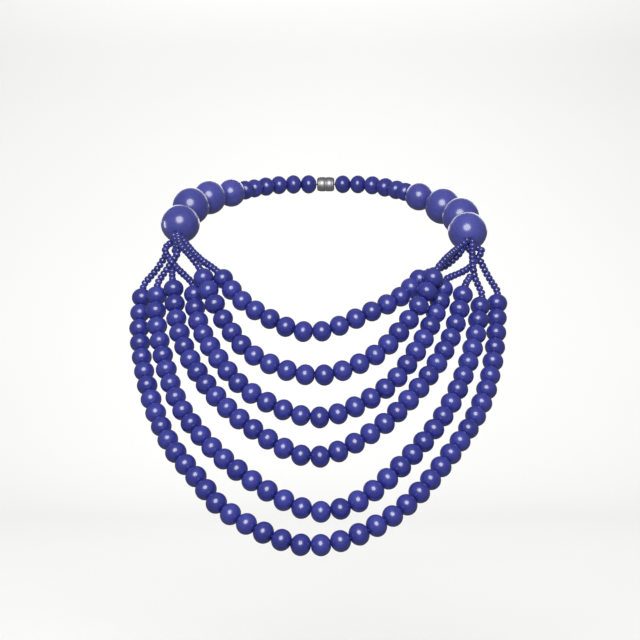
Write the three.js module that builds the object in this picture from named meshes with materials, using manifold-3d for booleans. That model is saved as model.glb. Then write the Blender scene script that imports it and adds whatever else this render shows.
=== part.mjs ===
// Beaded necklace of painted wood, millimetres, +Z up, its front towards -Y.
// The origin is where the clasp rests on the nape of the neck.
import * as THREE from 'three';
import { mergeVertices } from 'three/addons/utils/BufferGeometryUtils.js';
import Module from 'manifold-3d';

// Main beads
const beadDiameter = 12.6;
const beadLength = 11.2;
const beadShoulder = 0.66; // where the end rings lie, as a share of the bead's half length
const knotDiameter = 3.2; // the waist between two beads that touch on their thread
const beadSides = 10;
const knotSides = 5;

// Large beads, from the one beside the seed beads up the neck
const leftLargeDiameters = [25, 24.6, 22.6, 18.8];
const rightLargeDiameters = [25.2, 24.8, 24.1, 18.8];
const largeLengthShare = 0.94; // length along the thread as a share of the diameter
const boreDiameter = 4.6;
const threadPlay = 0.8; // between the thread and the wall of the hole
const largeGap = 1.7; // between two large beads on the thread, where the string bends
const largeSides = 12;
const largeArcSteps = 6;

// Threads, seed beads and clasp
const cordStep = 7;
const tubeSides = 8;
const seedDiameter = 4.6;
const seedStep = 13;
const gatherDiameter = 9; // where the seed strings crowd together at the large bead's hole
const strandLead = 3; // how far a seed string runs in line with the strand that it reaches
const clearance = 0.4;
const claspLength = 12;
const claspDiameter = 10;
const claspGap = 0.7;
const claspSides = 12;
const napeSide = 4; // how far the clasp's middle sits to one side

// The drape, a slope that falls away towards the sides, as the depth of the beads' middles
const drapeDepth = -90;
const drapeSlope = 0.62;
const drapeCurve = 35;
const drapeHalfWidth = 115;

// Chosen points. A strand's are side, height and lift off the drape, left end to right end.
// A neck string's are side, depth and height, from its seed beads back, short of the clasp.
// A seed string's are how far it bows from a straight line, a third and two thirds along it.
const ROUTES = {
  strands: [
    [[-63, -66, -2], [-48, -83, 0], [-31, -94, 0], [-15, -101, 0], [0, -102, 0], [31, -90, 0],
      [49, -81, -2], [65, -67, -9]],
    [[-74, -65, 2], [-66, -82, 4], [-58, -96, 0], [-40, -116, 0], [-2, -128, 0], [33, -116, 0],
      [54, -95, 0], [63, -82, 4], [72, -65, 5]],
    [[-79, -75, -5], [-75, -95, -2], [-62, -117, 0], [-41, -138, 0], [-1, -152, 0], [38, -136, 0],
      [57, -115, 0], [70, -93, -1], [78, -72, -6]],
    [[-92, -71, 2], [-86, -103, 0], [-69, -132, 0], [-40, -158, 0], [-4, -174, 0], [31, -160, 0],
      [60, -134, 0], [80, -105, 0], [90, -75, 3]],
    [[-102, -75, 2], [-102, -90, 2], [-98, -110, 0], [-82, -148, 0], [-48, -181, 0], [-4, -203, 0],
      [17, -200, 0], [41, -184, 0], [74, -150, 0], [93, -113, 0], [101, -82, 0]],
    [[-112, -76, 0], [-113, -90, 0], [-112, -107, 0], [-103, -140, 0], [-88, -168, 0],
      [-70, -187, 0], [-54, -203, 0], [-6, -221, 0], [39, -207, 0], [78, -171, 0], [98, -143, 0],
      [108, -112, 0], [112, -80, 0]],
  ],
  leftNeck: [[-91, -99, -41], [-90, -91, -31], [-85, -70, -20], [-75, -50, -13], [-58, -36, -9],
    [-47, -17, -5], [-27, -1, -1]],
  rightNeck: [[95, -99, -45], [95, -91, -36], [93, -68, -27], [85, -48, -20], [65, -37, -11],
    [54, -17, -6], [34, -1, -1]],
  leftSeeds: [
    [[0, 0, 0], [-1, 0, 0]],
    [[-2, -4, 2], [-1, -3, 2]],
    [[-11, 4, 3], [-9, 4, 4]],
    [[0, 0, 1], [-1, 1, 0]],
    [[5, -4, 1], [3, -3, 2]],
    [[1, -1, 1], [2, -1, 2]],
  ],
  rightSeeds: [
    [[3, -1, 0], [4, 2, -1]],
    [[0, 2, 3], [-1, -2, 2]],
    [[13, 4, 4], [10, 4, 1]],
    [[3, 0, 1], [3, 1, -1]],
    [[-1, -4, 1], [-2, -3, 2]],
    [[0, -1, 2], [0, -1, 1]],
  ],
};

const routeSamples = 800; // how finely a route's length is measured
const weldDistance = 1e-4;
const nape = new THREE.Vector3(napeSide, claspDiameter / 2, 0);
const up = new THREE.Vector3(0, -0.6, 0.8); // never along a string
const yAxis = new THREE.Vector3(0, 1, 0);
const paintedWood = { color: 0x3d4189, roughness: 0.45, metalness: 0 };
const satinWood = { color: 0x474c99, roughness: 0.38, metalness: 0 };
const seedGlass = { color: 0x34387c, roughness: 0.2, metalness: 0 };
const thread = { color: 0xb9ad8c, roughness: 0.9, metalness: 0 };
const claspMetal = { color: 0xb8b8bc, roughness: 0.3, metalness: 1 };

const wasm = await Module();
wasm.setup();

const group = new THREE.Group();

function addPiece(name, geometry, look) {
  const mesh = new THREE.Mesh(geometry, new THREE.MeshStandardMaterial(look));
  mesh.name = name;
  group.add(mesh);
}

// The depth of a bead's middle on the drape, at a side and a height.
function drapeAt(side, height) {
  const bend = Math.abs(side / drapeHalfWidth) ** 3;
  return drapeDepth + drapeSlope * height + drapeCurve * bend;
}

function smoothCurve(points) {
  const curve = new THREE.CatmullRomCurve3(points, false, 'centripetal');
  curve.arcLengthDivisions = routeSamples;
  return curve;
}

function strandCurve(route) {
  return smoothCurve(route.map(([side, height, lift]) =>
    new THREE.Vector3(side, drapeAt(side, height) - lift, height)));
}

function neckCurve(route) {
  const points = route.map(([side, depth, height]) => new THREE.Vector3(side, depth, height));
  return smoothCurve([...points, nape]);
}

// A ring of points round an axis, all rings turned alike by one up direction.
function ringAt(centre, axis, radius, sides) {
  const across = new THREE.Vector3().crossVectors(axis, up).normalize();
  const over = new THREE.Vector3().crossVectors(across, axis).normalize();
  return Array.from({ length: sides }, (_, i) => {
    const angle = (2 * Math.PI * i) / sides;
    return centre.clone()
      .addScaledVector(across, radius * Math.cos(angle))
      .addScaledVector(over, radius * Math.sin(angle));
  });
}

// One closed skin over rings that may differ in their number of points.
function loft(rings) {
  const positions = [];
  const triangles = [];
  const starts = rings.map((ring) => {
    const start = positions.length / 3;
    ring.forEach((point) => positions.push(point.x, point.y, point.z));
    return start;
  });
  for (let r = 0; r + 1 < rings.length; r += 1) {
    const near = rings[r].length;
    const far = rings[r + 1].length;
    let i = 0;
    let j = 0;
    while (i < near || j < far) {
      const a = starts[r] + (i % near);
      const b = starts[r + 1] + (j % far);
      if (j >= far || (i < near && (i + 1) * far <= (j + 1) * near)) {
        triangles.push(a, b, starts[r] + ((i + 1) % near));
        i += 1;
      } else {
        triangles.push(a, b, starts[r + 1] + ((j + 1) % far));
        j += 1;
      }
    }
  }
  const last = rings.length - 1;
  for (let i = 1; i + 1 < rings[0].length; i += 1) {
    triangles.push(starts[0], starts[0] + i, starts[0] + i + 1);
  }
  for (let i = 1; i + 1 < rings[last].length; i += 1) {
    triangles.push(starts[last], starts[last] + i + 1, starts[last] + i);
  }
  const geometry = new THREE.BufferGeometry();
  geometry.setAttribute('position', new THREE.Float32BufferAttribute(positions, 3));
  geometry.setIndex(triangles);
  geometry.computeVertexNormals();
  return geometry;
}

// Beads side by side on a stretch of a curve, fused at their waists.
function beadString(curve, from, to) {
  const count = Math.max(1, Math.round((to - from) / beadLength));
  const pitch = (to - from) / count;
  const total = curve.getLength();
  const at = (distance) => curve.getPointAt(THREE.MathUtils.clamp(distance / total, 0, 1));
  const along = (distance) => curve.getTangentAt(THREE.MathUtils.clamp(distance / total, 0, 1));
  const shoulderRadius = (beadDiameter / 2) * Math.sqrt(1 - beadShoulder ** 2);
  const shoulderReach = (beadLength / 2) * beadShoulder;
  const rings = [ringAt(at(from), along(from), knotDiameter / 2, knotSides)];
  for (let i = 0; i < count; i += 1) {
    const middle = from + (i + 0.5) * pitch;
    const centre = at(middle);
    const axis = along(middle);
    const before = centre.clone().addScaledVector(axis, -shoulderReach);
    const after = centre.clone().addScaledVector(axis, shoulderReach);
    const end = from + (i + 1) * pitch;
    rings.push(ringAt(before, axis, shoulderRadius, beadSides));
    rings.push(ringAt(centre, axis, beadDiameter / 2, beadSides));
    rings.push(ringAt(after, axis, shoulderRadius, beadSides));
    rings.push(ringAt(at(end), along(end), knotDiameter / 2, knotSides));
  }
  return loft(rings);
}

// A large bead: an oblate ball with a hole, its profile closed on itself.
function largeBead(diameter) {
  const radius = diameter / 2;
  const halfLength = radius * largeLengthShare;
  const bore = boreDiameter / 2;
  const rim = Math.asin(bore / radius);
  const profile = [];
  for (let i = 0; i <= largeArcSteps; i += 1) {
    const angle = rim + ((Math.PI - 2 * rim) * i) / largeArcSteps;
    profile.push(new THREE.Vector2(radius * Math.sin(angle), -halfLength * Math.cos(angle)));
  }
  profile[0].x = bore;
  profile[largeArcSteps].x = bore;
  profile.push(profile[0].clone());
  return new THREE.LatheGeometry(profile, largeSides);
}

// A round tube along a curve, with a step every so many millimetres.
function tube(curve, diameter, step) {
  const section = new THREE.Shape();
  for (let i = 0; i < tubeSides; i += 1) {
    const angle = (2 * Math.PI * i) / tubeSides;
    const x = (diameter / 2) * Math.cos(angle);
    const y = (diameter / 2) * Math.sin(angle);
    if (i === 0) {
      section.moveTo(x, y);
    } else {
      section.lineTo(x, y);
    }
  }
  section.closePath();
  const steps = Math.max(1, Math.round(curve.getLength() / step));
  return new THREE.ExtrudeGeometry(section, { steps, extrudePath: curve, bevelEnabled: false });
}

function toSolid(geometry) {
  geometry.deleteAttribute('normal');
  geometry.deleteAttribute('uv');
  const merged = mergeVertices(geometry, weldDistance);
  return new wasm.Manifold(new wasm.Mesh({
    numProp: 3,
    vertProperties: new Float32Array(merged.attributes.position.array),
    triVerts: new Uint32Array(merged.index.array),
  }));
}

function fromSolid(solid) {
  const mesh = solid.getMesh();
  const geometry = new THREE.BufferGeometry();
  geometry.setAttribute('position', new THREE.BufferAttribute(mesh.vertProperties, 3));
  geometry.setIndex(new THREE.BufferAttribute(mesh.triVerts, 1));
  geometry.computeVertexNormals();
  return geometry;
}

// Strings of seed beads that crowd together at one hole and each reach their strand.
function seedStrands(hub, exit, ends, bows) {
  const middle = hub.clone().addScaledVector(exit, seedDiameter / 2);
  const gatherEnd = hub.clone().addScaledVector(exit, seedDiameter);
  const gather = tube(new THREE.LineCurve3(hub, gatherEnd), gatherDiameter, seedDiameter);
  const tubes = ends.map(({ point, into }, i) => {
    const stop = point.clone().addScaledVector(into, -clearance);
    const lead = stop.clone().addScaledVector(into, -strandLead);
    const between = bows[i].map((bow, k) =>
      middle.clone().lerp(stop, (k + 1) / 3).add(new THREE.Vector3(...bow)));
    const curve = smoothCurve([middle, ...between, lead, stop]);
    return toSolid(tube(curve, seedDiameter, seedStep));
  });
  return fromSolid(tubes.reduce((bundle, next) => bundle.add(next), toSolid(gather)));
}

const strandCurves = ROUTES.strands.map(strandCurve);
strandCurves.forEach((curve, i) => {
  addPiece(`strand_${i + 1}`, beadString(curve, 0, curve.getLength()), paintedWood);
});

function buildSide(side, route, bows, diameters) {
  const curve = neckCurve(route);
  const total = curve.getLength();
  const threadPoints = [];
  let reached = 0;
  diameters.forEach((diameter, i) => {
    const length = diameter * largeLengthShare;
    const near = curve.getPointAt(reached / total);
    const far = curve.getPointAt((reached + length) / total);
    const centre = near.clone().lerp(far, 0.5);
    const axis = far.clone().sub(near).normalize();
    const geometry = largeBead(diameter);
    geometry.applyQuaternion(new THREE.Quaternion().setFromUnitVectors(yAxis, axis));
    geometry.translate(...centre.toArray());
    addPiece(`${side}_large_bead_${i + 1}`, geometry, satinWood);
    threadPoints.push(near, centre, far);
    reached += length + largeGap;
  });

  const threadDiameter = boreDiameter - 2 * threadPlay;
  threadPoints.push(curve.getPointAt((reached - clearance) / total));
  addPiece(`${side}_neck_cord`, tube(smoothCurve(threadPoints), threadDiameter, cordStep), thread);

  const backEnd = total - claspLength / 2 - claspGap;
  addPiece(`${side}_back_beads`, beadString(curve, reached, backEnd), paintedWood);

  const hole = threadPoints[0];
  const exit = hole.clone().sub(threadPoints[1]).normalize();
  const hub = hole.clone().addScaledVector(exit, clearance);
  const ends = strandCurves.map((strand) => {
    const atStart = side === 'left';
    const point = strand.getPointAt(atStart ? 0 : 1);
    const into = strand.getTangentAt(atStart ? 0 : 1);
    return { point, into: atStart ? into : into.negate() };
  });
  addPiece(`${side}_seed_strands`, seedStrands(hub, exit, ends, bows), seedGlass);
}

buildSide('left', ROUTES.leftNeck, ROUTES.leftSeeds, leftLargeDiameters);
buildSide('right', ROUTES.rightNeck, ROUTES.rightSeeds, rightLargeDiameters);

const clasp = new THREE.CylinderGeometry(claspDiameter / 2, claspDiameter / 2, claspLength, claspSides);
clasp.rotateZ(Math.PI / 2);
clasp.translate(...nape.toArray());
addPiece('clasp', clasp, claspMetal);

export default group;
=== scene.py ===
import math
import random

import bpy
import numpy as np
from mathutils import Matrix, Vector


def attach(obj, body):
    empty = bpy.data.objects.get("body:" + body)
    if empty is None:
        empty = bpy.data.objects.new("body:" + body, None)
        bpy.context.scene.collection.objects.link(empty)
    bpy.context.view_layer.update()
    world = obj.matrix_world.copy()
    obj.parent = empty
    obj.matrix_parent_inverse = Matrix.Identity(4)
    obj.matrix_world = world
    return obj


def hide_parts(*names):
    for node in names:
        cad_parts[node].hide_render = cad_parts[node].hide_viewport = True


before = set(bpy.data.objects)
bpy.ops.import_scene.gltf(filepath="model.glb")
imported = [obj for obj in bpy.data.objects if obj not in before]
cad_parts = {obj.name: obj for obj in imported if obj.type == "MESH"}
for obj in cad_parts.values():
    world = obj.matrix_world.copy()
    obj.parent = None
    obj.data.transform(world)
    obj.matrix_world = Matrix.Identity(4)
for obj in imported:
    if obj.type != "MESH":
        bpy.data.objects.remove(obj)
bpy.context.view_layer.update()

# Units and seed
MM = 0.001
rng = random.Random(7)

# Main beads, in millimetres. A bead's girth varies between its smallest and its largest share.
BEAD_DIAMETER = 12.6
BEAD_LENGTH = 11.2
BEAD_HOLE = 2.2
BEAD_RIM = 3.8
BEAD_SIDES = 32
BEAD_STEPS = 14
BEAD_SMALLEST = 0.985
BEAD_LARGEST = 1.03
BEAD_TOUCH = 0.992
BEAD_TILT = math.radians(4)
THREAD_DIAMETER = 1.0
THREAD_INSET = 0.5

# The rounded mouth of every drilled hole, as shares of its lip
MOUTH_DEPTH = 1.6
MOUTH_EDGE = 0.35
MOUTH_DROP = 0.5

# Large beads
LARGE_DIAMETERS = {"left": [25, 24.6, 22.6, 18.8], "right": [25.2, 24.8, 24.1, 18.8]}
LARGE_LENGTH_SHARE = 0.94
LARGE_HOLE = 4.6
LARGE_RIM = 6.4
LARGE_GAP = 1.7
LARGE_SIDES = 64
LARGE_STEPS = 32

# Seed beads. Below 1 their fullness makes them squarer, and crowding is the least distance between
# the middles of beads on two strings.
SEED_DIAMETER = 4.6
SEED_PITCH = 2.85
SEED_TOUCH = 0.97
SEED_HOLE = 1.1
SEED_THREAD = 0.7
SEED_RIM = 2.2
SEED_FULLNESS = 0.72
SEED_SMALLEST = 0.95
SEED_LARGEST = 1.04
SEED_SIDES = 18
SEED_STEPS = 10
SEED_CROWDING = 2.5
SEED_RING = 3.1
STRAND_LEAD = 3.0
CLEARANCE = 0.4

# Clasp. Its table has a row for each turn of an end: inset from the radius, distance from the end.
CLASP_LENGTH = 12.0
CLASP_DIAMETER = 10.0
CLASP_GAP = 0.7
CLASP_HOLE = 1.6
CLASP_SIDES = 48
CLASP_END = [(1.6, 0.0), (0.7, 0.35), (0.25, 1.0), (0.35, 1.5), (0.05, 1.9)]
SEAM_WIDTH = 1.2
SEAM_FLOOR = 0.5
SEAM_DEPTH = 0.4
NAPE = (4.0, CLASP_DIAMETER / 2, 0.0)

# The thread through the large beads, six plies wound together
THREAD_PLAY = 0.8
PLY_COUNT = 6
PLY_TWIST = 9.0
PLY_STEP = 0.9

# Sides of a thread, and steps to a span of each kind of route
TUBE_SIDES = 10
FINE_SIDES = 8
TUBE_STEP = 0.8
ROUTE_STEPS = 80
SEED_ROUTE_STEPS = 60
CORD_ROUTE_STEPS = 40

# How far each way along a route its direction is read
NEAR = 0.2
SEED_REACH = 1.0
BEAD_REACH = 2.0

# A direction that no string runs along, which the turn of each bead is taken from
UPRIGHT = (0.0, -0.6, 0.8)

# How far apart in the grain two beads may be taken
GRAIN_SPREAD = 90

# The drape, a slope that falls away towards the sides, as the depth of the beads' middles
DRAPE_DEPTH = -90.0
DRAPE_SLOPE = 0.62
DRAPE_CURVE = 35.0
DRAPE_HALF_WIDTH = 115.0

# The strands whose seed strings are laid first, so that the others give way to them where they crowd
SEED_ORDER = [1, 4, 0, 2, 5, 3]

# Where each seed string leaves the ring at the hole, in degrees from its inner side over its upper side
SEED_ANGLES = [10, 75, 240, 300, 125, 180]

# Camera, stage and room, in metres
CAMERA_PLACE = (0.0, -1.143, -0.095)
CAMERA_LENS = 92.25
SENSOR_WIDTH = 36.0
FLOOR_HEIGHT = -0.34
STAGE_HALF_WIDTH = 3.0
STAGE_FRONT = -3.0
STAGE_BACK = 1.6
STAGE_TOP = 3.0
STAGE_BEND = 0.7
STAGE_STEPS = 16
LIT_MIDDLE = (0.0, -0.13, -0.11)
ROOM_LIGHT = 0.17

# Chosen points. A strand's are side, height and lift off the drape, left end to right end.
# A neck string's are side, depth and height, from its seed beads back, short of the clasp.
# A seed string's are how far it bows from a straight line, a third and two thirds along it.
STRAND_ROUTES = [
    [(-63, -66, -2), (-48, -83, 0), (-31, -94, 0), (-15, -101, 0), (0, -102, 0), (31, -90, 0),
     (49, -81, -2), (65, -67, -9)],
    [(-74, -65, 2), (-66, -82, 4), (-58, -96, 0), (-40, -116, 0), (-2, -128, 0), (33, -116, 0),
     (54, -95, 0), (63, -82, 4), (72, -65, 5)],
    [(-79, -75, -5), (-75, -95, -2), (-62, -117, 0), (-41, -138, 0), (-1, -152, 0), (38, -136, 0),
     (57, -115, 0), (70, -93, -1), (78, -72, -6)],
    [(-92, -71, 2), (-86, -103, 0), (-69, -132, 0), (-40, -158, 0), (-4, -174, 0), (31, -160, 0),
     (60, -134, 0), (80, -105, 0), (90, -75, 3)],
    [(-102, -75, 2), (-102, -90, 2), (-98, -110, 0), (-82, -148, 0), (-48, -181, 0), (-4, -203, 0),
     (17, -200, 0), (41, -184, 0), (74, -150, 0), (93, -113, 0), (101, -82, 0)],
    [(-112, -76, 0), (-113, -90, 0), (-112, -107, 0), (-103, -140, 0), (-88, -168, 0),
     (-70, -187, 0), (-54, -203, 0), (-6, -221, 0), (39, -207, 0), (78, -171, 0), (98, -143, 0),
     (108, -112, 0), (112, -80, 0)],
]
NECK_ROUTES = {
    "left": [(-91, -99, -41), (-90, -91, -31), (-85, -70, -20), (-75, -50, -13), (-58, -36, -9),
             (-47, -17, -5), (-27, -1, -1)],
    "right": [(95, -99, -45), (95, -91, -36), (93, -68, -27), (85, -48, -20), (65, -37, -11),
              (54, -17, -6), (34, -1, -1)],
}
SEED_BOWS = {
    "left": [[(0, 0, 0), (-1, 0, 0)], [(-2, -4, 2), (-1, -3, 2)], [(-11, 4, 3), (-9, 4, 4)],
             [(0, 0, 1), (-1, 1, 0)], [(5, -4, 1), (3, -3, 2)], [(1, -1, 1), (2, -1, 2)]],
    "right": [[(3, -1, 0), (4, 2, -1)], [(0, 2, 3), (-1, -2, 2)], [(13, 4, 4), (10, 4, 1)],
              [(3, 0, 1), (3, 1, -1)], [(-1, -4, 1), (-2, -3, 2)], [(0, -1, 2), (0, -1, 1)]],
}

# Every piece that is made, for the light that shines on them alone
made_pieces = []


def unit(vector):
    vector = np.asarray(vector, dtype=float)
    return vector / np.linalg.norm(vector)


class Route:
    """A smooth line that is read by the distance along it, in millimetres."""

    def __init__(self, samples):
        self.samples = np.asarray(samples, dtype=float)
        steps = np.linalg.norm(np.diff(self.samples, axis=0), axis=1)
        self.reach = np.concatenate([[0.0], np.cumsum(steps)])
        self.length = float(self.reach[-1])

    def at(self, distance):
        return np.array([np.interp(distance, self.reach, self.samples[:, k]) for k in range(3)])

    def along(self, distance, step=NEAR):
        before = max(0.0, distance - step)
        after = min(self.length, distance + step)
        return unit(self.at(after) - self.at(before))


def smooth_route(points, per_span=ROUTE_STEPS):
    """A centripetal Catmull-Rom line through the points."""
    points = [np.array(p, dtype=float) for p in points]
    padded = [2 * points[0] - points[1]] + points + [2 * points[-1] - points[-2]]
    samples = []
    for i in range(len(points) - 1):
        p0, p1, p2, p3 = padded[i : i + 4]
        d0 = np.linalg.norm(p1 - p0) ** 0.5
        d1 = np.linalg.norm(p2 - p1) ** 0.5
        d2 = np.linalg.norm(p3 - p2) ** 0.5
        m1 = d1 * ((p1 - p0) / d0 - (p2 - p0) / (d0 + d1) + (p2 - p1) / d1)
        m2 = d1 * ((p2 - p1) / d1 - (p3 - p1) / (d1 + d2) + (p3 - p2) / d2)
        for t in np.linspace(0, 1, per_span, endpoint=False):
            cubic = (2 * p1 - 2 * p2 + m1 + m2) * t**3
            square = (-3 * p1 + 3 * p2 - 2 * m1 - m2) * t**2
            samples.append(cubic + square + m1 * t + p1)
    samples.append(points[-1])
    return Route(samples)


def drape_at(side, height):
    bend = abs(side / DRAPE_HALF_WIDTH) ** 3
    return DRAPE_DEPTH + DRAPE_SLOPE * height + DRAPE_CURVE * bend


def strand_route(route):
    return smooth_route([(side, drape_at(side, height) - lift, height) for side, height, lift in route])


class Form:
    """Many turned pieces gathered into one mesh, each with its own grain and tone."""

    def __init__(self):
        self.points = []
        self.faces = []
        self.grain = []
        self.tone = []
        self.count = 0

    def add(self, points, faces, local, tone):
        self.points.append(points)
        self.faces.append(faces + self.count)
        self.grain.append(local)
        self.tone.append(np.full(len(points), tone))
        self.count += len(points)

    def build(self, name, material):
        mesh = bpy.data.meshes.new(name)
        points = np.concatenate(self.points) * MM
        mesh.from_pydata(points.tolist(), [], np.concatenate(self.faces).tolist())
        grain = mesh.attributes.new("grain", "FLOAT_VECTOR", "POINT")
        grain.data.foreach_set("vector", np.concatenate(self.grain).astype(np.float32).ravel())
        tone = mesh.attributes.new("tone", "FLOAT", "POINT")
        tone.data.foreach_set("value", np.concatenate(self.tone).astype(np.float32))
        mesh.materials.append(material)
        mesh.shade_smooth()
        mesh.update()
        piece = bpy.data.objects.new(name, mesh)
        bpy.context.scene.collection.objects.link(piece)
        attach(piece, "root")
        made_pieces.append(piece)
        return piece


def turned(profile, sides):
    """A closed profile of radius and height, turned about the Z axis."""
    angles = np.linspace(0, 2 * math.pi, sides, endpoint=False)
    rows = len(profile)
    points = np.array([(r * math.cos(a), r * math.sin(a), z) for r, z in profile for a in angles])
    faces = []
    for row in range(rows):
        below = row * sides
        above = ((row + 1) % rows) * sides
        for i in range(sides):
            j = (i + 1) % sides
            faces.append((below + i, below + j, above + j, above + i))
    return points, np.array(faces)


def bead_profile(diameter, length, hole, rim, steps, fullness=1.0):
    """A ball with a drilled hole whose mouth is a little rounded. Below 1 its fullness makes it squarer."""
    radius = diameter / 2
    mouth = length / 2
    start = math.asin(rim / diameter)
    reach = mouth / math.cos(start)
    lip = (rim - hole) / 4
    inner = (hole / 2, mouth - MOUTH_DEPTH * lip)
    edge = (hole / 2 + MOUTH_EDGE * lip, mouth - MOUTH_DROP * lip)
    profile = [(inner[0], -inner[1]), (edge[0], -edge[1])]
    for i in range(steps + 1):
        angle = start + (math.pi - 2 * start) * i / steps
        height = min(mouth, reach * abs(math.cos(angle)) ** fullness)
        profile.append((radius * math.sin(angle) ** fullness, -math.copysign(height, math.cos(angle))))
    return profile + [edge, inner]


def frame_of(axis, spin=0.0, tilt=0.0):
    """Three directions, the last along the axis, turned by spin and leaned by tilt."""
    axis = unit(axis)
    aside = unit(np.cross(axis, UPRIGHT))
    over = np.cross(axis, aside)
    if tilt:
        axis = unit(axis + math.tan(tilt) * (math.cos(spin) * aside + math.sin(spin) * over))
        aside = unit(np.cross(axis, over)) * -1
        over = np.cross(axis, aside)
    x = math.cos(spin) * aside + math.sin(spin) * over
    return np.array([x, np.cross(axis, x), axis])


def add_bead(form, shape, centre, axis, girth=1.0, tilt=0.0):
    """One bead of a shape, made wider or narrower across its hole by its girth."""
    points, faces = shape
    points = points * (girth, girth, 1.0)
    spin = rng.uniform(0, 2 * math.pi)
    turn = frame_of(axis, spin, tilt)
    offset = np.array([rng.uniform(-GRAIN_SPREAD, GRAIN_SPREAD) for _ in range(3)])
    form.add(centre + points @ turn, faces, points + offset, rng.uniform(-1, 1))


def add_tube(form, route, diameter, start, end, sides=TUBE_SIDES, step=TUBE_STEP,
             twist=0.0, offset=0.0, phase=0.0):
    """A thread along part of a route, which may wind round it."""
    count = max(3, int((end - start) / step))
    rows = []
    for i in range(count + 1):
        distance = start + (end - start) * i / count
        turn = frame_of(route.along(distance))
        angle = phase + (2 * math.pi * distance / twist if twist else 0.0)
        centre = route.at(distance) + offset * (math.cos(angle) * turn[0] + math.sin(angle) * turn[1])
        for k in range(sides):
            around = 2 * math.pi * k / sides
            rows.append(centre + diameter / 2 * (math.cos(around) * turn[0] + math.sin(around) * turn[1]))
    faces = []
    for i in range(count):
        for k in range(sides):
            j = (k + 1) % sides
            faces.append((i * sides + k, i * sides + j, (i + 1) * sides + j, (i + 1) * sides + k))
    points = np.array(rows)
    form.add(points, np.array(faces), points, 0.0)


# Materials


def new_material(name):
    material = bpy.data.materials.new(name)
    material.use_nodes = True
    nodes = material.node_tree.nodes
    nodes.clear()
    shader = nodes.new("ShaderNodeBsdfPrincipled")
    out = nodes.new("ShaderNodeOutputMaterial")
    material.node_tree.links.new(shader.outputs["BSDF"], out.inputs["Surface"])
    return material, nodes, material.node_tree.links, shader


def attribute(nodes, name, output):
    node = nodes.new("ShaderNodeAttribute")
    node.attribute_name = name
    return node.outputs[output]


def stretched(nodes, links, vector, scale):
    node = nodes.new("ShaderNodeMapping")
    node.inputs["Scale"].default_value = scale
    links.new(vector, node.inputs["Vector"])
    return node.outputs["Vector"]


def noise(nodes, links, vector, scale=1.0, detail=3.0, roughness=0.5):
    node = nodes.new("ShaderNodeTexNoise")
    node.inputs["Scale"].default_value = scale
    node.inputs["Detail"].default_value = detail
    node.inputs["Roughness"].default_value = roughness
    links.new(vector, node.inputs["Vector"])
    return node.outputs["Fac"]


def spread(nodes, links, value, low_in, high_in, low_out=0.0, high_out=1.0):
    """A value stretched from one range to another."""
    node = nodes.new("ShaderNodeMapRange")
    node.inputs["From Min"].default_value = low_in
    node.inputs["From Max"].default_value = high_in
    node.inputs["To Min"].default_value = low_out
    node.inputs["To Max"].default_value = high_out
    links.new(value, node.inputs["Value"])
    return node.outputs["Result"]


def combine(nodes, links, how, a, b):
    node = nodes.new("ShaderNodeMath")
    node.operation = how
    for socket, value in zip(node.inputs, (a, b)):
        if isinstance(value, (int, float)):
            socket.default_value = value
        else:
            links.new(value, socket)
    return node.outputs["Value"]


def weighted(nodes, links, first, *rest):
    """The first value plus each other one times its weight."""
    total = first
    for value, weight in rest:
        total = combine(nodes, links, "ADD", total, combine(nodes, links, "MULTIPLY", value, weight))
    return total


def blend_colours(nodes, links, fac, a, b):
    node = nodes.new("ShaderNodeMix")
    node.data_type = "RGBA"
    links.new(fac, node.inputs["Factor"])
    for socket, value in ((node.inputs[6], a), (node.inputs[7], b)):
        if isinstance(value, tuple):
            socket.default_value = (*value, 1.0)
        else:
            links.new(value, socket)
    return node.outputs[2]


def add_bump(nodes, links, shader, height, strength, distance):
    node = nodes.new("ShaderNodeBump")
    node.inputs["Strength"].default_value = strength
    node.inputs["Distance"].default_value = distance
    links.new(height, node.inputs["Height"])
    links.new(node.outputs["Normal"], shader.inputs["Normal"])


def painted_wood(name, dark, light, worn, roughness, coat_ior, coat_roughness, relief):
    """Paint on turned wood: soft mottling, lathe lines, pits and a few rubbed places."""
    material, nodes, links, shader = new_material(name)
    grain = attribute(nodes, "grain", "Vector")
    tone = attribute(nodes, "tone", "Fac")
    mottle = noise(nodes, links, grain, scale=0.22, detail=4.0)
    lathe = noise(nodes, links, stretched(nodes, links, grain, (0.1, 0.1, 2.2)), detail=2.0)
    fibre = noise(nodes, links, stretched(nodes, links, grain, (2.6, 0.5, 0.35)), detail=3.0)
    fine = noise(nodes, links, grain, scale=3.5, detail=4.0, roughness=0.6)
    pits = noise(nodes, links, grain, scale=1.1, detail=1.0, roughness=0.4)
    rubs = noise(nodes, links, grain, scale=0.7, detail=5.0, roughness=0.7)
    hollow = spread(nodes, links, pits, 0.74, 0.80)
    rubbed = spread(nodes, links, rubs, 0.68, 0.78)

    shade = weighted(nodes, links, mottle, (tone, 0.20), (fibre, 0.25))
    paint = blend_colours(nodes, links, spread(nodes, links, shade, 0.35, 0.95), dark, light)
    bare = combine(nodes, links, "MULTIPLY", rubbed, 0.35)
    links.new(blend_colours(nodes, links, bare, paint, worn), shader.inputs["Base Color"])

    rough = combine(nodes, links, "ADD", spread(nodes, links, fine, 0.3, 0.7, -0.05, 0.06), roughness)
    links.new(weighted(nodes, links, rough, (rubbed, 0.12)), shader.inputs["Roughness"])
    shader.inputs["Specular IOR Level"].default_value = 0.3
    shader.inputs["Coat Weight"].default_value = 1.0
    shader.inputs["Coat IOR"].default_value = coat_ior
    shader.inputs["Coat Roughness"].default_value = coat_roughness

    lines = combine(nodes, links, "MULTIPLY", lathe, 0.5)
    height = weighted(nodes, links, lines, (fine, 0.25), (fibre, 0.35), (hollow, -1.2))
    add_bump(nodes, links, shader, height, strength=relief, distance=0.25 * MM)
    return material


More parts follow.
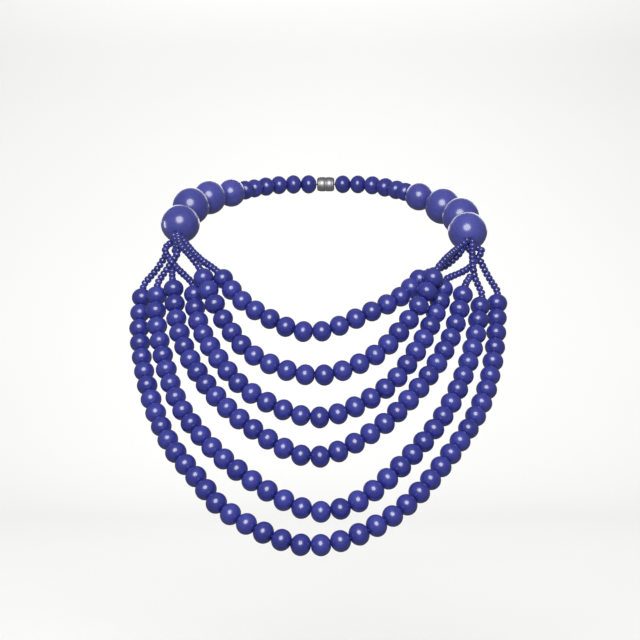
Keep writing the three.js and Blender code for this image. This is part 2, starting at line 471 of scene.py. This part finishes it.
def seed_glass():
    """Opaque glossy seed beads, each a little different in tone."""
    material, nodes, links, shader = new_material("seed_glass")
    grain = attribute(nodes, "grain", "Vector")
    tone = attribute(nodes, "tone", "Fac")
    mottle = noise(nodes, links, grain, scale=0.8)
    shade = spread(nodes, links, weighted(nodes, links, mottle, (tone, 0.3)), 0.2, 0.8)
    glass = blend_colours(nodes, links, shade, (0.026, 0.030, 0.21), (0.045, 0.052, 0.33))
    links.new(glass, shader.inputs["Base Color"])
    links.new(spread(nodes, links, mottle, 0.3, 0.7, 0.16, 0.28), shader.inputs["Roughness"])
    shader.inputs["Coat Weight"].default_value = 1.0
    shader.inputs["Coat IOR"].default_value = 1.65
    shader.inputs["Coat Roughness"].default_value = 0.26
    add_bump(nodes, links, shader, mottle, strength=0.25, distance=0.2 * MM)
    return material


def waxed_thread():
    """Pale thread with a fuzz of fine fibres."""
    material, nodes, links, shader = new_material("waxed_thread")
    grain = attribute(nodes, "grain", "Vector")
    fuzz = noise(nodes, links, grain, scale=3.0, detail=4.0, roughness=0.6)
    shade = spread(nodes, links, fuzz, 0.3, 0.7)
    thread = blend_colours(nodes, links, shade, (0.33, 0.28, 0.17), (0.55, 0.5, 0.36))
    links.new(thread, shader.inputs["Base Color"])
    links.new(spread(nodes, links, fuzz, 0.3, 0.7, 0.7, 0.9), shader.inputs["Roughness"])
    add_bump(nodes, links, shader, fuzz, strength=0.5, distance=0.1 * MM)
    return material


def brushed_metal():
    """Grey metal with fine lines brushed round it."""
    material, nodes, links, shader = new_material("brushed_metal")
    grain = attribute(nodes, "grain", "Vector")
    brushed = stretched(nodes, links, grain, (0.3, 0.3, 5.0))
    lines = noise(nodes, links, brushed, detail=4.0, roughness=0.6)
    shade = spread(nodes, links, lines, 0.3, 0.7)
    metal = blend_colours(nodes, links, shade, (0.42, 0.42, 0.44), (0.62, 0.62, 0.64))
    links.new(metal, shader.inputs["Base Color"])
    links.new(spread(nodes, links, lines, 0.3, 0.7, 0.42, 0.58), shader.inputs["Roughness"])
    shader.inputs["Metallic"].default_value = 1.0
    add_bump(nodes, links, shader, lines, strength=0.3, distance=0.1 * MM)
    return material


def plain_stage():
    """Matt off-white with a faint cloud in it."""
    material, nodes, links, shader = new_material("pale_stage")
    place = nodes.new("ShaderNodeTexCoord").outputs["Object"]
    cloud = noise(nodes, links, place, scale=1.5, detail=2.0)
    shade = spread(nodes, links, cloud, 0.3, 0.7)
    pale = blend_colours(nodes, links, shade, (0.88, 0.88, 0.87), (0.91, 0.91, 0.9))
    links.new(pale, shader.inputs["Base Color"])
    shader.inputs["Roughness"].default_value = 0.9
    return material


main_paint = painted_wood(
    "painted_beads", dark=(0.0225, 0.0285, 0.252), light=(0.047, 0.055, 0.368), worn=(0.18, 0.18, 0.44),
    roughness=0.45, coat_ior=1.74, coat_roughness=0.215, relief=0.30)
large_paint = painted_wood(
    "painted_large_beads", dark=(0.058, 0.064, 0.318), light=(0.086, 0.093, 0.432), worn=(0.2, 0.2, 0.46),
    roughness=0.40, coat_ior=1.65, coat_roughness=0.20, relief=0.14)
seed_paint = seed_glass()
thread_look = waxed_thread()
metal_look = brushed_metal()


# Pieces


def string_beads(form, route, start, end):
    """Beads side by side along part of a route, as many as fit."""
    count = max(1, round((end - start) / BEAD_LENGTH))
    pitch = (end - start) / count
    length = pitch * BEAD_TOUCH
    shape = turned(bead_profile(BEAD_DIAMETER, length, BEAD_HOLE, BEAD_RIM, BEAD_STEPS), BEAD_SIDES)
    for i in range(count):
        middle = start + (i + 0.5) * pitch
        girth = rng.uniform(BEAD_SMALLEST, BEAD_LARGEST)
        tilt = rng.uniform(0, BEAD_TILT)
        add_bead(form, shape, route.at(middle), route.along(middle, BEAD_REACH), girth, tilt)


def build_strands():
    """The six strands of main beads, each with the thread that shows between them."""
    routes = [strand_route(points) for points in STRAND_ROUTES]
    for number, route in enumerate(routes, 1):
        beads = Form()
        string_beads(beads, route, 0.0, route.length)
        piece = beads.build(f"strand_{number}_beads", main_paint)
        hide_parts(f"strand_{number}")
        inner = Form()
        add_tube(inner, route, THREAD_DIAMETER, THREAD_INSET, route.length - THREAD_INSET)
        inner.build(f"strand_{number}_thread", thread_look)
    return routes


def build_large_beads(side, route):
    """The large beads pole to pole on their route, where they end, and the thread's points."""
    reached = 0.0
    thread_points = []
    pieces = []
    for number, diameter in enumerate(LARGE_DIAMETERS[side], 1):
        length = diameter * LARGE_LENGTH_SHARE
        near = route.at(reached)
        far = route.at(reached + length)
        centre = (near + far) / 2
        shape = turned(bead_profile(diameter, length, LARGE_HOLE, LARGE_RIM, LARGE_STEPS), LARGE_SIDES)
        bead = Form()
        add_bead(bead, shape, centre, far - near)
        piece = bead.build(f"{side}_large_{number}", large_paint)
        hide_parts(f"{side}_large_bead_{number}")
        pieces.append(piece)
        thread_points += [near, centre, far]
        reached += length + LARGE_GAP
    return pieces, reached, thread_points


def build_neck_cord(side, points):
    """Six plies wound together through the holes."""
    route = smooth_route(points, CORD_ROUTE_STEPS)
    ply = (LARGE_HOLE - 2 * THREAD_PLAY) / 3
    plies = Form()
    for k in range(PLY_COUNT):
        add_tube(plies, route, ply, 0.0, route.length, FINE_SIDES, PLY_STEP,
                 twist=PLY_TWIST, offset=ply, phase=2 * math.pi * k / PLY_COUNT)
    piece = plies.build(f"{side}_neck_plies", thread_look)
    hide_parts(f"{side}_neck_cord")


def ring_place(side, exit_way, degrees):
    """A place on the ring of first seed beads, from the middle of the ring."""
    across = unit(np.cross(UPRIGHT, exit_way))
    over = unit(np.cross(exit_way, across))
    angle = math.radians(degrees)
    inward = 1.0 if side == "left" else -1.0
    if across[0] < 0:
        across = -across
    if over[2] < 0:
        over = -over
    return SEED_RING * (inward * math.cos(angle) * across + math.sin(angle) * over)


def seed_route(side, k, middle, start, end, into):
    """A seed string's line, from its place on the ring to its strand, which it enters straight."""
    stop = end - CLEARANCE * into
    between = [middle + (stop - middle) * (i + 1) / 3 + bow for i, bow in enumerate(SEED_BOWS[side][k])]
    return smooth_route([start, *between, stop - STRAND_LEAD * into, stop], SEED_ROUTE_STEPS)


def build_seed_strings(side, hole, exit_way, ends):
    """Six strings of seed beads that crowd round one hole and each reach their strand."""
    middle = hole + (CLEARANCE + SEED_PITCH / 2) * exit_way
    others = []
    beads = Form()
    threads = Form()
    for k in SEED_ORDER:
        end, into = ends[k]
        start = middle + ring_place(side, exit_way, SEED_ANGLES[k])
        route = seed_route(side, k, middle, start, end, into)
        own = []
        count = int(route.length / SEED_PITCH)
        pitch = route.length / count
        length = pitch * SEED_TOUCH
        profile = bead_profile(SEED_DIAMETER, length, SEED_HOLE, SEED_RIM, SEED_STEPS, SEED_FULLNESS)
        shape = turned(profile, SEED_SIDES)
        for i in range(count):
            distance = route.length - (i + 0.5) * pitch
            centre = route.at(distance)
            if any(np.linalg.norm(centre - other) < SEED_CROWDING for other in others):
                continue
            girth = rng.uniform(SEED_SMALLEST, SEED_LARGEST)
            tilt = rng.uniform(0, BEAD_TILT)
            add_bead(beads, shape, centre, route.along(distance, SEED_REACH), girth, tilt)
            reached = min(route.length, distance + pitch / 2)
            add_tube(threads, route, SEED_THREAD, distance - pitch / 2, reached, FINE_SIDES)
            own.append(centre)
        others += own
    piece = beads.build(f"{side}_seed_beads", seed_paint)
    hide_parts(f"{side}_seed_strands")
    threads.build(f"{side}_seed_threads", thread_look)


def build_back_string(side, route, reached):
    """The plain beads from the last large bead to the clasp, and their thread."""
    clasp_face = route.length - CLASP_LENGTH / 2
    back = Form()
    string_beads(back, route, reached, clasp_face - CLASP_GAP)
    piece = back.build(f"{side}_back_string", main_paint)
    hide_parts(f"{side}_back_beads")
    inner = Form()
    add_tube(inner, route, THREAD_DIAMETER, reached - CLEARANCE, clasp_face)
    inner.build(f"{side}_back_thread", thread_look)


def build_side(side, strand_routes):
    """All that hangs from one side of the clasp, down to the ends of the strands."""
    route = smooth_route(NECK_ROUTES[side] + [NAPE])
    large, reached, points = build_large_beads(side, route)
    build_neck_cord(side, points + [route.at(reached - CLEARANCE)])
    build_back_string(side, route, reached)
    ends = []
    for strand in strand_routes:
        if side == "left":
            ends.append((strand.at(0.0), strand.along(0.0)))
        else:
            ends.append((strand.at(strand.length), -strand.along(strand.length)))
    hole = points[0]
    exit_way = unit(points[0] - points[1])
    build_seed_strings(side, hole, exit_way, ends)
    return large


def build_clasp():
    """A barrel of two halves with a seam between them and a rounded lip at each end."""
    half = CLASP_LENGTH / 2
    radius = CLASP_DIAMETER / 2
    profile = [(CLASP_HOLE / 2, -half)]
    profile += [(radius - inset, -half + along) for inset, along in CLASP_END]
    profile += [(radius, -SEAM_WIDTH / 2), (radius - SEAM_DEPTH, -SEAM_FLOOR / 2)]
    profile += [(across, -along) for across, along in reversed(profile)]
    barrel = Form()
    add_bead(barrel, turned(profile, CLASP_SIDES), np.array(NAPE), (1.0, 0.0, 0.0))
    piece = barrel.build("barrel_clasp", metal_look)
    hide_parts("clasp")


# Stage, light and camera


def build_stage():
    """A floor that bends up into a plain backdrop."""
    line = [(STAGE_FRONT, FLOOR_HEIGHT)]
    for i in range(STAGE_STEPS + 1):
        angle = math.pi / 2 * i / STAGE_STEPS
        depth = STAGE_BACK - STAGE_BEND + STAGE_BEND * math.sin(angle)
        line.append((depth, FLOOR_HEIGHT + STAGE_BEND - STAGE_BEND * math.cos(angle)))
    line.append((STAGE_BACK, STAGE_TOP))
    points = [(side * STAGE_HALF_WIDTH, depth, height) for depth, height in line for side in (-1, 1)]
    faces = [(2 * i, 2 * i + 1, 2 * i + 3, 2 * i + 2) for i in range(len(line) - 1)]
    mesh = bpy.data.meshes.new("stage")
    mesh.from_pydata(points, [], faces)
    mesh.materials.append(plain_stage())
    mesh.shade_smooth()
    stage = bpy.data.objects.new("stage", mesh)
    bpy.context.scene.collection.objects.link(stage)
    stage.visible_glossy = False
    stage.visible_diffuse = False
    return stage


def soft_light(name, place, target, size, power, height=None, only=None):
    """An area light, which may shine on a few chosen pieces only."""
    data = bpy.data.lights.new(name, "AREA")
    data.shape = "RECTANGLE" if height else "DISK"
    data.size = size
    if height:
        data.size_y = height
    data.energy = power
    lamp = bpy.data.objects.new(name, data)
    lamp.location = place
    lamp.rotation_euler = (Vector(target) - Vector(place)).to_track_quat("-Z", "Y").to_euler()
    bpy.context.scene.collection.objects.link(lamp)
    if only:
        lit = bpy.data.collections.new(f"{name}_lit")
        for piece in only:
            lit.objects.link(piece)
        lamp.light_linking.receiver_collection = lit
    return lamp


def build_lights(large, stage):
    """A key in front, rims for the large beads, soft fills, and a light for the backdrop alone."""
    both = large["left"] + large["right"]
    soft_light("key", place=(-0.10, -1.32, 0.38), target=LIT_MIDDLE, size=0.95, power=15.5)
    soft_light("left_strip", place=(-1.28, 0.12, -0.12), target=LIT_MIDDLE, size=0.2, power=3,
               height=0.45, only=large["left"][:1])
    soft_light("back_panel", place=(0.0, 1.5, 0.60), target=LIT_MIDDLE, size=2.8, power=20,
               height=1.1, only=both)
    top = soft_light("top", place=(0.0, -0.1, 1.5), target=LIT_MIDDLE, size=1.0, power=4)
    top.visible_glossy = False
    fill = soft_light("back_fill", place=(0.0, 1.2, 0.35), target=LIT_MIDDLE, size=1.4, power=15,
                      only=made_pieces)
    fill.visible_glossy = False
    soft_light("backdrop_light", place=(0.0, 0.7, 1.6), target=(0.0, STAGE_BACK, 0.0), size=1.6, power=34,
               only=[stage])
    world = bpy.data.worlds.new("soft_room")
    world.use_nodes = True
    world.node_tree.nodes["Background"].inputs["Color"].default_value = (1.0, 1.0, 1.0, 1.0)
    world.node_tree.nodes["Background"].inputs["Strength"].default_value = ROOM_LIGHT
    bpy.context.scene.world = world
    bpy.context.scene.view_settings.view_transform = "Standard"


def build_camera():
    """A camera that looks level, from in front."""
    data = bpy.data.cameras.new("camera")
    data.lens = CAMERA_LENS
    data.sensor_width = SENSOR_WIDTH
    camera = bpy.data.objects.new("camera", data)
    camera.location = CAMERA_PLACE
    camera.rotation_euler = (math.pi / 2, 0.0, 0.0)
    bpy.context.scene.collection.objects.link(camera)
    bpy.context.scene.camera = camera


all_strands = build_strands()
large_beads = {side: build_side(side, all_strands) for side in ("left", "right")}
build_clasp()
build_camera()
build_lights(large_beads, build_stage())
